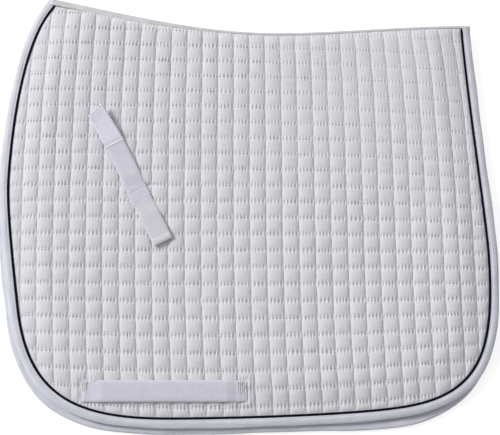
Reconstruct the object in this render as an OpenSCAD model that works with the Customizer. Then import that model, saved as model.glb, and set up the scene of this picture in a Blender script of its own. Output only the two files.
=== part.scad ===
// Dressage saddle pad, folded in half along its contoured spine seam and laid
// flat with its near side up. The off flap lies underneath, outer face down.
// Every flap part is modelled outer face down, with its depth along +Z, and the
// near flap is the off flap mirrored in height.

/* [Pad outline] */
// Middle of the pad to the piping at the widest point of the front edge
front_reach = 338; // [322:1:352]
// Middle of the pad to the piping at the widest point of the rear edge
rear_reach = 328; // [312:1:344]
// Middle of the pad to the piping at the lowest point of the bottom edge
bottom_drop = 273; // [258:1:290]
// Middle of the pad to the lowest point of the spine seam
spine_height = 277; // [265:1:292]
// Rise of the spine seam from its lowest point to the wither peak
wither_rise = 52; // [42:1:58]
// Rise of the spine seam from its lowest point to its rear end
rear_rise = 11; // [6:1:18]
// Setback of the wither peak from the widest point of the front edge
wither_setback = 58; // [50:1:68]
// Setback of the rear end of the seam from the widest point of the rear edge
rear_setback = 22; // [14:1:30]

/* [Layers] */
// Thickness of one quilted flap
panel_t = 10; // [9:0.5:14]
// Thickness of the quilted cotton cover
cover_t = 1.2; // [0.8:0.1:1.4]
// Thickness of the quilted lining
lining_t = 1.2; // [0.8:0.1:1.4]
// Thickness to which the layers are pressed at the edges
edge_t = 4; // [3.4:0.1:5]
// Gap between the two flaps as they lie folded
flap_gap = 0.3; // [0.2:0.05:1]
// How far the off flap hangs below the near flap when the pad lies folded
fold_roll = 7.5; // [3:0.5:10]

/* [Binding and piping] */
// Visible width of the binding outside the piping
binding_w = 13; // [10:0.5:16]
// Thickness of the binding tape
binding_t = 1; // [0.6:0.1:1.4]
// Diameter of the piping cord
piping_d = 3.4; // [2.6:0.2:4.4]
// Thickness of the sewing thread
thread_d = 0.6; // [0.4:0.1:0.8]

/* [Spine tape] */
// Width of the spine tape on each side of the seam
spine_tape_w = 9; // [7:0.5:13]
// Thickness of the spine tape
spine_tape_t = 1; // [0.6:0.1:1.2]

/* [Girth strap] */
// Overall length of the girth strap
girth_len = 220; // [200:1:250]
// Width of the girth strap
girth_w = 28; // [22:1:34]
// Length of the strap sewn down at each end
girth_sewn = 11; // [9:1:16]
// Height of the loop that the strap leaves above the cover
girth_bow = 6; // [5:0.5:9]
// Length over which the strap climbs to its full height
girth_ramp = 34; // [26:1:45]
// Front edge of the pad to the front end of the girth strap
girth_setback = 114; // [100:1:125]
// Piping at the bottom edge to the middle of the girth strap
girth_rise = 35.5; // [30:0.5:45]

/* [Billet strap] */
// Width of the billet strap
billet_w = 28; // [24:1:34]
// Length of the billet strap above the middle of its sewn base
billet_up = 143; // [120:1:150]
// Length of the billet strap below the middle of its sewn base
billet_down = 76; // [60:1:90]
// Length of the sewn base of the billet strap
billet_base_l = 22; // [18:1:28]
// Lean of the billet strap towards the front
billet_lean = 27.8; // [20:0.2:35]
// Front edge of the pad to the middle of the sewn base
billet_setback = 184; // [175:1:195]
// Lowest point of the seam to the middle of the sewn base
billet_drop = 245; // [235:1:255]
// Length of the hook tape at the upper end of the billet strap
hook_l = 55; // [40:1:70]
// Length of the hem folded at the lower end of the billet strap
hem_l = 8; // [6:1:12]

/* [Webbing] */
// Thickness of the strap webbing
strap_t = 1.6; // [1.2:0.1:1.8]
// Thickness of the hook tape and of the hem
hook_t = 0.9; // [0.6:0.1:1.1]
// Clearance around a strap arm that can lift
strap_gap = 0.3; // [0.2:0.05:0.5]
// Depth of the hollow that the quilting forms over the straps it lies on
hollow_d = 3.2; // [3:0.1:3.6]

/* [Hidden] */

// Points on each stretch of the outline
edge_steps = 9;
seam_steps = 9;
// Length by which cutting shapes run past what they cut
over = 5;
// Length by which the outline runs on beyond the seam before it is cut there
run_on = 25;
// Length by which the bound wither peak stands beyond the end of the seam
peak_past_seam = binding_w - 5;

// Corners of the box that holds the piping line
front = -front_reach;
rear = rear_reach;
bottom = -bottom_drop;
seam_low = spine_height;

// The piping line as six smooth stretches, from the wither peak down the front
// edge, along the bottom and up the rear edge
wither = [front + wither_setback, seam_low + wither_rise - 2];
edge_stretches = [
    [wither, [front + 9, seam_low + 5], [front, 128], [front, 55]],
    [[front, 55], [front, 11], [front + 17, bottom + 185], [front + 23, bottom + 147]],
    [[front + 23, bottom + 147], [front + 43, bottom + 27], [front + 110, bottom], [front + 229, bottom]],
    [[front + 229, bottom], [front + 333, bottom], [rear - 181, bottom + 6], [rear - 126, bottom + 15]],
    [[rear - 126, bottom + 15], [rear - 20, bottom + 31], [rear, bottom + 91], [rear, -59]],
    [[rear, -59], [rear, 0], [rear - rear_setback + 2, seam_low - 85], [rear - rear_setback, seam_low + 45]]
];

// The spine seam as two smooth stretches, from its rear end to the wither peak
seam_stretches = [
    [[rear - 8, seam_low + rear_rise], [rear - 98, seam_low + rear_rise + 1], [130, seam_low], [40, seam_low]],
    [[40, seam_low], [-70, seam_low], [front + 168, seam_low + wither_rise - 25],
     [front + wither_setback - 5, seam_low + wither_rise + 1]]
];

function curve_at(p, t) = pow(1 - t, 3) * p[0] + 3 * pow(1 - t, 2) * t * p[1]
                        + 3 * (1 - t) * t * t * p[2] + pow(t, 3) * p[3];
function slope_at(p, t) = pow(1 - t, 2) * (p[1] - p[0]) + 2 * (1 - t) * t * (p[2] - p[1])
                        + t * t * (p[3] - p[2]);
function unit(v) = v / norm(v);
// The direction to the right of travel, which is outward on the outline
function right_of(v) = unit([v[1], -v[0]]);
function last(list) = list[len(list) - 1];
// A chain of stretches moved sideways by d, without its last point
function moved(chain, d, steps) = [for (p = chain) for (i = [0 : steps - 1])
    curve_at(p, i / steps) + d * right_of(slope_at(p, i / steps))];

// The outline moved out from the piping line by e, running on beyond the seam
function edge_line(e) = let (
    first = edge_stretches[0], final = last(edge_stretches),
    into = unit(slope_at(first, 0)), away = unit(slope_at(final, 1))
) concat([first[0] - run_on * into + e * right_of(into)],
         moved(edge_stretches, e, edge_steps),
         [final[3] + e * right_of(away)]);

// The seam moved down by s, running on past both ends of the pad
function seam_line(s) = let (
    first = seam_stretches[0], final = last(seam_stretches),
    into = unit(slope_at(first, 0)), away = unit(slope_at(final, 1))
) concat([first[0] - 4 * run_on * into - s * right_of(into)],
         moved(seam_stretches, -s, seam_steps),
         [final[3] - s * right_of(away), final[3] + 4 * run_on * away - s * right_of(away)]);

function below_seam(s) = concat(seam_line(s), [
    [last(seam_line(s))[0], bottom - 4 * run_on],
    [seam_line(s)[0][0], bottom - 4 * run_on]
]);

// The pad's own box, which puts the origin at the middle of its underside
outer_edge = edge_line(binding_w);
x_low = min([for (p = outer_edge) p[0]]);
x_high = max([for (p = outer_edge) p[0]]);
y_low = min([for (p = outer_edge) p[1]]) - fold_roll;
seam_end = last(seam_stretches);
peak = seam_end[3] + peak_past_seam * unit(slope_at(seam_end, 1));
origin_at = [(x_low + x_high) / 2, (y_low + peak[1]) / 2, 0];

// Heights in one flap, from its outer face at 0 to its lining face at panel_t
stack_h = 2 * panel_t + flap_gap;
edge_low = (panel_t - edge_t) / 2;
edge_high = edge_low + edge_t;
piping_r = piping_d / 2;
quilt_e = -piping_r;
layers_e = binding_w - binding_t;
billet_t = strap_t + strap_gap;

// Places of the straps on a flap
girth_x = front + girth_setback;
girth_y = bottom + girth_rise;
billet_at = [front + billet_setback, seam_low - billet_drop, 0];

// Depth of the face that a strap is sewn to
function strap_face(off) = off ? hollow_d : 0;

module near_side() {
    translate(-origin_at) translate([0, 0, stack_h]) mirror([0, 0, 1]) children();
}

module off_side() {
    translate(-origin_at) translate([0, -fold_roll, 0]) children();
}

// One layer of a flap, e outside the piping line and s below the seam
module layer(e, s, z_low, z_high) {
    translate([0, 0, z_low]) linear_extrude(z_high - z_low) intersection() {
        polygon(edge_line(e));
        polygon(below_seam(s));
    }
}

// A band that follows the outline between two distances from the piping line
module band(e_in, e_out, z_low, z_high) {
    difference() {
        layer(e_out, 0, z_low, z_high);
        layer(e_in, -over, z_low - over, z_high + over);
    }
}

// A block that lies over both straps, wider than them by m, from z_low to z_high
module strap_blocks(m, z_low, z_high) {
    translate([girth_x - m, girth_y - girth_w / 2 - m, z_low])
        cube([girth_len + 2 * m, girth_w + 2 * m, z_high - z_low]);
    translate(billet_at) rotate([0, 0, billet_lean])
        translate([-billet_w / 2 - m, -billet_down - m, z_low])
            cube([billet_w + 2 * m, billet_up + billet_down + 2 * m, z_high - z_low]);
}

// A quilted skin that steps down to the pressed edge layers
module skin(t) {
    difference() {
        union() {
            layer(quilt_e, spine_tape_w, 0, edge_low + t);
            layer(layers_e, 0, edge_low, edge_low + t);
        }
        layer(quilt_e - t, spine_tape_w + t, t, edge_low + t + over);
    }
}

module cover(hollowed) {
    if (hollowed) difference() {
        union() {
            skin(cover_t);
            strap_blocks(2 * strap_gap + cover_t, 0, hollow_d + cover_t);
        }
        strap_blocks(2 * strap_gap, -over, hollow_d);
    }
    else skin(cover_t);
}

module lining() {
    translate([0, 0, panel_t]) mirror([0, 0, 1]) skin(lining_t);
}

module wadding(hollowed) {
    difference() {
        union() {
            layer(quilt_e - cover_t, spine_tape_w + cover_t, cover_t, edge_high - lining_t);
            layer(quilt_e - lining_t, spine_tape_w + lining_t, edge_low + cover_t, panel_t - lining_t);
            layer(layers_e, 0, edge_low + cover_t, edge_high - lining_t);
        }
        if (hollowed) strap_blocks(2 * strap_gap + cover_t, -over, hollow_d + cover_t);
    }
}

module binding() {
    band(layers_e, binding_w, edge_low - binding_t, edge_high + binding_t);
    band(piping_r, binding_w, edge_low - binding_t, edge_low);
    band(piping_r, binding_w, edge_high, edge_high + binding_t);
}

module binding_stitching() {
    band(2 * piping_r, 2 * piping_r + thread_d, edge_low - binding_t - thread_d / 2, edge_low - binding_t);
}

// The piping stands a little prouder than the binding beside it
module piping() {
    band(-piping_r, piping_r, edge_low - piping_r, edge_low);
    band(-piping_r / 2, piping_r / 2, edge_low - piping_d * 0.75, edge_low - piping_r);
}

// The rise of the girth strap at x along it, as a share of its full height
function bow_at(x) = let (u = min(x, girth_len - x) - girth_sewn)
    u <= 0 ? 0 : u >= girth_ramp ? 1 : (1 - cos(180 * u / girth_ramp)) / 2;

bow_steps = 8;
bow_x = concat([0], [for (i = [0 : bow_steps]) girth_sewn + girth_ramp * i / bow_steps],
    [for (i = [bow_steps : -1 : 0]) girth_len - girth_sewn - girth_ramp * i / bow_steps], [girth_len]);

module girth_strap(off) {
    bow = off ? 0 : girth_bow;
    face = strap_face(off);
    translate([girth_x, girth_y + girth_w / 2, 0]) rotate([90, 0, 0]) linear_extrude(girth_w)
        polygon(concat([for (x = bow_x) [x, face - bow * bow_at(x)]],
            [for (i = [len(bow_x) - 1 : -1 : 0]) [bow_x[i], face - strap_t - bow * bow_at(bow_x[i])]]));
}

// A sewn box with a cross in it, l along and w across
module box_stitch(l, w) {
    cross = norm([l, w]);
    translate([-l / 2, -w / 2, 0]) difference() {
        cube([l, w, thread_d / 2]);
        translate([thread_d, thread_d, -over]) cube([l - 2 * thread_d, w - 2 * thread_d, 2 * over]);
    }
    for (side = [-1, 1]) rotate([0, 0, side * atan2(w, l)])
        translate([-cross / 2 + thread_d, -thread_d / 2, 0])
            cube([cross - 2 * thread_d, thread_d, thread_d / 2]);
}

module girth_stitching(off) {
    z = strap_face(off) - strap_t - thread_d / 2;
    for (x = [girth_sewn / 2, girth_len - girth_sewn / 2])
        translate([girth_x + x, girth_y, z]) box_stitch(girth_sewn - 3, girth_w - 5);
}

// Places what follows along the billet strap, whose outer face is at depth 0
module along_billet(off) {
    translate([0, 0, strap_face(off) - billet_t]) translate(billet_at)
        rotate([0, 0, billet_lean]) children();
}

module billet_piece(y_low, y_high, z_low, z_high, w = billet_w) {
    translate([-w / 2, y_low, z_low]) cube([w, y_high - y_low, z_high - z_low]);
}

module billet_base(off) {
    along_billet(off) billet_piece(-billet_base_l / 2, billet_base_l / 2, 0, billet_t);
}

module billet_stitching(off) {
    along_billet(off) translate([0, 0, -thread_d / 2])
        box_stitch(billet_w - 5, billet_base_l - 5);
}

module billet_upper_arm(off) {
    along_billet(off) billet_piece(billet_base_l / 2 + strap_gap, billet_up, 0, strap_t);
}

module billet_hook_tape(off) {
    along_billet(off) billet_piece(billet_up - hook_l, billet_up - thread_d, -hook_t, 0, billet_w - 2 * thread_d);
}

module billet_lower_arm(off) {
    along_billet(off) {
        billet_piece(-billet_down, -billet_base_l / 2 - strap_gap, 0, strap_t);
        billet_piece(-billet_down, -billet_down + hem_l, -hook_t, 0);
    }
}

// A layer of tape along the near seam, from s_low to s_high below it
module seam_tape_layer(s_low, s_high, z_low, z_high) {
    difference() {
        layer(quilt_e, s_low, z_low, z_high);
        layer(quilt_e + over, s_high, z_low - over, z_high + over);
    }
}

// The leg of a folded tape on the off flap, which hangs lower than the near one
module off_leg(s_back, z_low, z_high) {
    intersection() {
        layer(quilt_e, s_back, z_low, z_high);
        translate([0, -fold_roll, 0]) difference() {
            layer(quilt_e, -2 * fold_roll, z_low - over, z_high + over);
            layer(quilt_e + over, spine_tape_w, z_low - 2 * over, z_high + 2 * over);
        }
    }
}

// A folded tape that joins both flaps: its off leg, its back and its near leg
module folded_tape(s_back, off_leg_z, near_leg_z) {
    translate(-origin_at) {
        off_leg(s_back, off_leg_z, off_leg_z + spine_tape_t);
        seam_tape_layer(s_back, s_back + spine_tape_t, off_leg_z, near_leg_z + spine_tape_t);
        seam_tape_layer(s_back, spine_tape_w - flap_gap, near_leg_z, near_leg_z + spine_tape_t);
    }
}

module near_cover() { color("whitesmoke") near_side() cover(false); }
module near_wadding() { color("white") near_side() wadding(false); }
module near_lining() { color("whitesmoke") near_side() lining(); }
module near_binding() { color("aliceblue") near_side() binding(); }
module near_binding_stitching() { color("white") near_side() binding_stitching(); }
module near_piping() { color("midnightblue") near_side() piping(); }
module near_girth_strap() { color("lavender") near_side() girth_strap(false); }
module near_girth_stitching() { color("white") near_side() girth_stitching(false); }
module near_billet_base() { color("gainsboro") near_side() billet_base(false); }
module near_billet_stitching() { color("white") near_side() billet_stitching(false); }
module near_billet_upper_arm() { color("gainsboro") near_side() billet_upper_arm(false); }
module near_billet_hook_tape() { color("ghostwhite") near_side() billet_hook_tape(false); }
module near_billet_lower_arm() { color("gainsboro") near_side() billet_lower_arm(false); }

module off_cover() { color("whitesmoke") off_side() cover(true); }
module off_wadding() { color("white") off_side() wadding(true); }
module off_lining() { color("whitesmoke") off_side() lining(); }
module off_binding() { color("aliceblue") off_side() binding(); }
module off_binding_stitching() { color("white") off_side() binding_stitching(); }
module off_piping() { color("midnightblue") off_side() piping(); }
module off_girth_strap() { color("lavender") off_side() girth_strap(true); }
module off_girth_stitching() { color("white") off_side() girth_stitching(true); }
module off_billet_base() { color("gainsboro") off_side() billet_base(true); }
module off_billet_stitching() { color("white") off_side() billet_stitching(true); }
module off_billet_upper_arm() { color("gainsboro") off_side() billet_upper_arm(true); }
module off_billet_hook_tape() { color("ghostwhite") off_side() billet_hook_tape(true); }
module off_billet_lower_arm() { color("gainsboro") off_side() billet_lower_arm(true); }

module spine_tape() {
    color("aliceblue") folded_tape(-flap_gap - spine_tape_t, edge_low - spine_tape_t,
        stack_h - edge_low + flap_gap);
}
module spine_inner_tape() {
    color("aliceblue") folded_tape(flap_gap, edge_high, stack_h - edge_high - flap_gap - spine_tape_t);
}

near_cover();
near_wadding();
near_lining();
near_binding();
near_binding_stitching();
near_piping();
near_girth_strap();
near_girth_stitching();
near_billet_base();
near_billet_stitching();
near_billet_upper_arm();
near_billet_hook_tape();
near_billet_lower_arm();
off_cover();
off_wadding();
off_lining();
off_binding();
off_binding_stitching();
off_piping();
off_girth_strap();
off_girth_stitching();
off_billet_base();
off_billet_stitching();
off_billet_upper_arm();
off_billet_hook_tape();
off_billet_lower_arm();
spine_tape();
spine_inner_tape();
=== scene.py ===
import math
import bpy
import numpy as np
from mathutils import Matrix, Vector


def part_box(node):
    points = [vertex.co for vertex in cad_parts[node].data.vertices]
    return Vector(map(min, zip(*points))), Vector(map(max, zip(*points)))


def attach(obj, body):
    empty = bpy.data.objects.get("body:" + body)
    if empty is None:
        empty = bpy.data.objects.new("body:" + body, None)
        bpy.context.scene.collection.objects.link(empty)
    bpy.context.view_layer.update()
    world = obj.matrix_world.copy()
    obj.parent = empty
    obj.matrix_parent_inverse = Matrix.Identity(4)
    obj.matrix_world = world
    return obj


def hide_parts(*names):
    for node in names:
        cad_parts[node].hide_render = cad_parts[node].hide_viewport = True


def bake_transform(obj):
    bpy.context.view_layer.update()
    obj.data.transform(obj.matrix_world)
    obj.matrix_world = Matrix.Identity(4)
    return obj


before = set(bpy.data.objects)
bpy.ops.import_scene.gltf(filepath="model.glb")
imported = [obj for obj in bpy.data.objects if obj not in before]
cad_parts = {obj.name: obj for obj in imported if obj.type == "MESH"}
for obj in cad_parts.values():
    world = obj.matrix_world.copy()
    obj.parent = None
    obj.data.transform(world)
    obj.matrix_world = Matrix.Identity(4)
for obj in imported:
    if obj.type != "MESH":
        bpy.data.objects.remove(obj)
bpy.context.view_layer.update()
print("saddle pad: frame loaded,", len(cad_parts), "nodes")

rng = np.random.default_rng(11)
mm = 0.001
tau = 2 * np.pi
facing = {"near": 1, "off": -1}  # which way the outer face of a flap looks, up or down


def boxOf(node):
    return (np.array(corner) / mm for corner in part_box(node))


pad = {
    "pipingRadius": 1.7,
    "spineTapeWidth": 9.0,
    "witherRise": 52.0,  # of the spine seam above its lowest point
    "rearRise": 11.0,
    "witherSetback": 58.0,  # of the wither peak behind the front edge
    "rearSetback": 22.0,
    "middleSetback": 338.0,  # of the middle of the pad behind the front edge
    "middleRise": 273.0,  # and above the bottom edge
    "creaseDepth": 2.0,  # half the thickness of a flap where it is sewn through
    "rimDepth": 1.9,  # and under the binding
    "runOn": 25.0,  # of the outline past the seam
    "floorGap": 0.12,  # the off flap rests on the floor, and the near flap on the off one
}

pipingLow, pipingHigh = boxOf("near_piping")
coverLow, _ = boxOf("near_cover")
girthLow, girthHigh = boxOf("near_girth_strap")
offCoverLow, _ = boxOf("off_cover")
bindingLow, _ = boxOf("near_binding")
tapeLow, _ = boxOf("spine_tape")
frontX = pipingLow[0] + pad["pipingRadius"]
rearX = pipingHigh[0] - pad["pipingRadius"]
bottomY = pipingLow[1] + pad["pipingRadius"]
bindingWidth = frontX - bindingLow[0]
foldRoll = coverLow[1] - offCoverLow[1]
seamLowY = tapeLow[1] + foldRoll + pad["spineTapeWidth"]
witherX = frontX + pad["witherSetback"]
witherY = seamLowY + pad["witherRise"]
middle = np.array([frontX + pad["middleSetback"], bottomY + pad["middleRise"]])

edgeKnots = [
    (witherX, witherY - 2), (frontX + 9, seamLowY + 5), (frontX, middle[1] + 128),
    (frontX, middle[1] + 55), (frontX, middle[1] + 11), (frontX + 17, bottomY + 185),
    (frontX + 23, bottomY + 147), (frontX + 43, bottomY + 27), (frontX + 110, bottomY),
    (frontX + 229, bottomY), (frontX + 333, bottomY), (rearX - 181, bottomY + 6),
    (rearX - 126, bottomY + 15), (rearX - 20, bottomY + 31), (rearX, bottomY + 91),
    (rearX, middle[1] - 59), (rearX, middle[1]), (rearX - pad["rearSetback"] + 2, seamLowY - 85),
    (rearX - pad["rearSetback"], seamLowY + 45),
]
seamKnots = [
    (rearX - 8, seamLowY + pad["rearRise"]), (rearX - 98, seamLowY + pad["rearRise"] + 1),
    (middle[0] + 130, seamLowY), (middle[0] + 40, seamLowY), (middle[0] - 70, seamLowY),
    (frontX + 168, witherY - 25), (witherX - 5, witherY + 1),
]


def curvePoints(knots, steps):
    # a smooth line through every third knot, run on straight at both ends
    knots = np.array(knots)
    t = np.linspace(0, 1, steps, endpoint=False)[:, None]
    rows = []
    for a, b, c, d in zip(knots[::3], knots[1::3], knots[2::3], knots[3::3]):
        rows.append((1 - t) ** 3 * a + 3 * (1 - t) ** 2 * t * b + 3 * (1 - t) * t ** 2 * c + t ** 3 * d)
    line = np.vstack([*rows, knots[-1]])
    into = (line[0] - line[1]) / np.linalg.norm(line[0] - line[1])
    away = (line[-1] - line[-2]) / np.linalg.norm(line[-1] - line[-2])
    return np.vstack([line[0] + into * pad["runOn"], line, line[-1] + away * pad["runOn"]])


def alongLine(line):
    return np.concatenate([[0], np.cumsum(np.linalg.norm(np.diff(line, axis=0), axis=1))])


def measureTo(line, points, batch=12000):
    # distance to the right of travel, distance along, and the outward direction at the nearest point
    spans = np.diff(line, axis=0)
    lengths = np.linalg.norm(spans, axis=1)
    marks = alongLine(line)
    parts = []
    for first in range(0, len(points), batch):
        relative = points[first:first + batch, None, :] - line[None, :-1]
        share = np.clip((relative * spans).sum(2) / lengths ** 2, 0, 1)
        gap = ((relative - share[..., None] * spans) ** 2).sum(2)
        nearest = gap.argmin(1)
        row = np.arange(len(nearest))
        span = spans[nearest]
        rel = relative[row, nearest]
        side = np.sign(span[:, 1] * rel[:, 0] - span[:, 0] * rel[:, 1])
        along = marks[nearest] + share[row, nearest] * lengths[nearest]
        outward = np.stack([span[:, 1], -span[:, 0]], 1) / lengths[nearest][:, None]
        parts.append((side * np.sqrt(gap[row, nearest]), along, outward))
    return [np.concatenate(column) for column in zip(*parts)]


def smooth(x):
    t = np.clip(x, 0, 1)
    return t * t * (3 - 2 * t)


def hump(x):
    return np.exp(-x ** 2)


def bulge(q):
    # the rounding of a stuffed edge, from 0 where it is sewn to 1
    return (1 - (1 - q) ** 2.2) ** 0.62


def gatherLine(along, pitch, wander, wave):
    # the gathers along a sewn line, a little uneven
    return np.cos(tau * along / pitch + wander * np.sin(along / wave))


edgeLine = curvePoints(edgeKnots, 40)
seamLine = curvePoints(seamKnots, 60)
edgeEnd = alongLine(edgeLine)[-1]
seamEnd = alongLine(seamLine)[-1]


def belowSeam(points):
    return -measureTo(seamLine, points)[0]


print("outline: front %.1f, rear %.1f, bottom %.1f, seam %.1f, fold roll %.1f" % (
    frontX, rearX, bottomY, seamLowY, foldRoll))


quilting = {
    "columns": (-3, 29),
    "rows": (-3, 26),
    "columnPitch": 22.15,
    "rowPitch": 23.2,
    "rowTop": 278.0,  # of the first sewn row above the middle of the pad
    "puckerHeight": 0.30,
    "puckerReach": 3.1,
    "rowDepth": 0.68,  # how far a row draws the puff down, as a share
    "foldDepth": 0.41,  # and how much that changes from gather to gather
    "rowReach": 4.2,
    "rowPower": 1.6,
    "foldReach": 3.4,
    "foldPower": 0.7,
    "dipLimits": (-0.1, 0.96),
    "upper": (2, 12),  # the row down to which the quilting is like the top, and the rows it takes to change
    "topRows": 0.50,  # how much shallower the rows are at the top
    "flatRear": 0.32,  # how much flatter the puffs are at the top towards the rear
    "rear": (10, 10),  # the column from which they are, and the columns it takes
    "fullness": 0.97,
    # where the sewn columns and rows run, as they bow over the flap: polynomials of the place along them
    "columnBow": ((-22.66, 226.1, -1.8, -1.5), (-3.07, 4.39, -0.53, -1.05), (5.86, -5.27, -1.37),
                  (-3.8, -4.45)),
    "rowBow": ((277.9, -8.3, 0.7, -2.8, -2.5), (-459, 6.45, -22.3, 1.47, 2), (-6.25, 5.6, 31.5)),
    "bowReach": 300.0,
}

cellSpans = (quilting["columns"], quilting["rows"])
cellShape = tuple(last - first + 2 for first, last in cellSpans)
cells = {
    "loft": 1 + rng.normal(0, 0.05, cellShape),
    "tilt": rng.normal(0, 0.10, cellShape),
    "phase": rng.uniform(0, 1, cellShape),
    "count": rng.uniform(4.1, 5.0, cellShape),  # of gathers across a cell
    "gain": rng.uniform(0.8, 1.2, cellShape),
    "up": rng.uniform(0.85, 1.25, cellShape),
    "down": rng.uniform(0.85, 1.25, cellShape),
    "slant": rng.normal(0, 0.009, cellShape),
    "wander": rng.normal(0, 0.35, cellShape),
}


def bowed(rows, a, b):
    # a polynomial of a and b, with a row for each power of b
    return sum(b ** i * sum(factor * a ** j for j, factor in enumerate(row)) for i, row in enumerate(rows))


def cellAt(*place):
    return tuple(np.clip(k.astype(int) - first, 0, last - first + 1)
                 for k, (first, last) in zip(place, cellSpans))


def quiltPlace(u, v):
    # where column u and row v cross, in the flat of the flap: both bow a little, as sewn on a curved pad
    y = quilting["rowTop"] - quilting["rowPitch"] * v
    for _ in range(6):
        x = bowed(quilting["columnBow"], (u - 12) / 10, y / quilting["bowReach"])
        y = bowed(quilting["rowBow"], x / quilting["bowReach"], v / 20)
    x = x + cells["wander"][cellAt(np.round(u), np.round(v))] * np.cos(np.pi * (v - np.round(v))) ** 2
    return np.stack([x + middle[0], y + middle[1]], -1)


def puffShare(u, v):
    # the loft of the quilting, from 0 in a sewn column line to 1 at the top of a puff; its part across the
    # columns; and the height of the short gathers that the sewing leaves on both sides of each row
    cell = cellAt(np.floor(u), np.floor(v))
    line = cellAt(np.floor(u), np.round(v))
    gain = cells["gain"][line]
    fu = u - np.floor(u)
    fv = v - np.floor(v)
    fromRow = (v - np.round(v)) * quilting["rowPitch"]
    turn = fu * cells["count"][line] + cells["phase"][line] + cells["slant"][line] * fromRow
    wave = ((1 + np.cos(tau * turn)) / 2) ** quilting["foldPower"]
    wave = 2 * wave - 1  # -1 in a fold that the row's sewing pulls in
    reach = np.where(fromRow < 0, cells["up"][line], cells["down"][line]) * quilting["puckerReach"]
    pucker = quilting["puckerHeight"] * gain * wave * hump(fromRow / reach)
    across = bulge(1 - np.abs(2 * fu - 1))
    toRow = np.minimum(fv, 1 - fv) * quilting["rowPitch"]
    row, rows = quilting["upper"]
    upper = 1 - smooth((v - row) / rows)
    dip = quilting["rowDepth"] * (1 - upper * quilting["topRows"])
    dip = dip * np.exp(-(toRow / quilting["rowReach"]) ** quilting["rowPower"])
    dip = dip - quilting["foldDepth"] * wave * gain * hump(toRow / quilting["foldReach"])
    lean = 1 + cells["tilt"][cell] * (fu - 0.5)
    column, columns = quilting["rear"]
    flat = quilting["fullness"] * (1 - quilting["flatRear"] * upper * smooth((u - column) / columns))
    loft = across * (1 - np.clip(dip, *quilting["dipLimits"])) * cells["loft"][cell] * lean * flat
    return loft, across * flat, pucker


straps = {
    "billetWidth": 28.0,
    "billetUp": 143.0,
    "billetDown": 76.0,
    "billetBase": 22.0,
    "billetLean": 27.8,
    "billetSetback": 184.0,  # of its base behind the front edge
    "billetDrop": 245.0,  # and below the seam
    "girthSewn": 9.5,
}
billetAt = np.array([frontX + straps["billetSetback"], seamLowY - straps["billetDrop"]])
angle = math.radians(straps["billetLean"])
billetUp = np.array([-math.sin(angle), math.cos(angle)])
billetAcross = np.array([billetUp[1], -billetUp[0]])
billetHalf = straps["billetWidth"] / 2
baseHalf = straps["billetBase"] / 2
girthMiddle = (girthLow + girthHigh) / 2
girthLength, girthWidth = (girthHigh - girthLow)[:2]


def inBillet(points):
    # how far points are across the billet strap, and along it
    d = points - billetAt
    return [d[:, 0] * way[0] + d[:, 1] * way[1] for way in (billetAcross, billetUp)]


def outsideBox(across, along, halfWidth, low, high):
    # distance outside a rectangle
    dx = np.maximum(np.abs(across) - halfWidth, 0)
    dy = np.maximum(np.maximum(low - along, along - high), 0)
    return np.hypot(dx, dy)


def sewnGap(points):
    # distance to the sewn base of the billet strap, and to the nearer sewn end of the girth strap
    base = outsideBox(*inBillet(points), billetHalf, -baseHalf, baseHalf)
    x = points[:, 0] - girthLow[0]
    y = points[:, 1] - girthMiddle[1]
    front = outsideBox(y, x, girthWidth / 2, 0, straps["girthSewn"])
    rear = outsideBox(y, x, girthWidth / 2, girthLength - straps["girthSewn"], girthLength)
    return base, np.minimum(front, rear)


tug = {"across": 16.5, "along": 9.0, "length": 21.0, "depth": 1.7, "width": 2.3, "fade": 0.09}


def tugGap(points):
    # distance to the crease that the sewn base pulls into the cover beside it
    start = billetAt + tug["across"] * billetAcross + tug["along"] * billetUp
    x = points[:, 0] - start[0]
    along = np.clip(x, 0, tug["length"])
    return np.hypot(x - along, points[:, 1] - start[1]) + tug["fade"] * along


def strapGap(points):
    # distance to the nearest strap
    billet = outsideBox(*inBillet(points), billetHalf, -straps["billetDown"], straps["billetUp"])
    girth = outsideBox(points[:, 1] - girthMiddle[1], points[:, 0] - girthMiddle[0], girthWidth / 2,
                       -girthLength / 2, girthLength / 2)
    return np.minimum(billet, girth)


drift = {
    "forward": 5.0,  # how far the lower part of the off flap lies in front of the near one
    "sag": 5.5,  # and how far its bottom edge sags towards the rear
    "sagAt": 210.0,  # behind the middle of the pad
    "sagWidth": 83.0,
    "from": 60.0,  # below the seam
    "reach": 300.0,
}


def laid(points, side):
    # the off flap lies lower than the near one by the roll of the fold, and a little askew further down
    if side == "near":
        return points
    depth = belowSeam(points.reshape(-1, 2)).reshape(points.shape[:-1])
    share = smooth((depth - drift["from"]) / drift["reach"])
    fromSag = (points[..., 0] - middle[0] - drift["sagAt"]) / drift["sagWidth"]
    sag = drift["sag"] * hump(fromSag)
    return points - np.stack([drift["forward"] * share, foldRoll + sag * share], -1)


def raised(points, side, height):
    # points of a flap where they lie, with their heights
    return np.concatenate([laid(points, side), height[..., None]], -1)


lie = {
    "near": (15.3, 13.3, 10.4),  # height of a flap's middle above the floor, at the seam and at the binding
    "off": (5.0, 7.0, 3.2),
    "edgeFall": 50.0,  # width over which an edge sinks
    "seamFall": 18.0,
    "sway": 1.2,  # height of the slow waves in the whole pad
    "swayFall": 60.0,
}


roll = {
    "from": 200,  # in front of the middle of the pad
    "reach": 170,
    "inset": 0.8,
    "depth": 5.2,  # how much less of the tape shows at the rear
}


def tapeReach(x):
    # how much of the spine tape shows on the near flap: it rolls over the fold towards the rear
    share = smooth((x - (middle[0] - roll["from"])) / roll["reach"])
    return pad["spineTapeWidth"] - roll["inset"] - roll["depth"] * share


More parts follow.
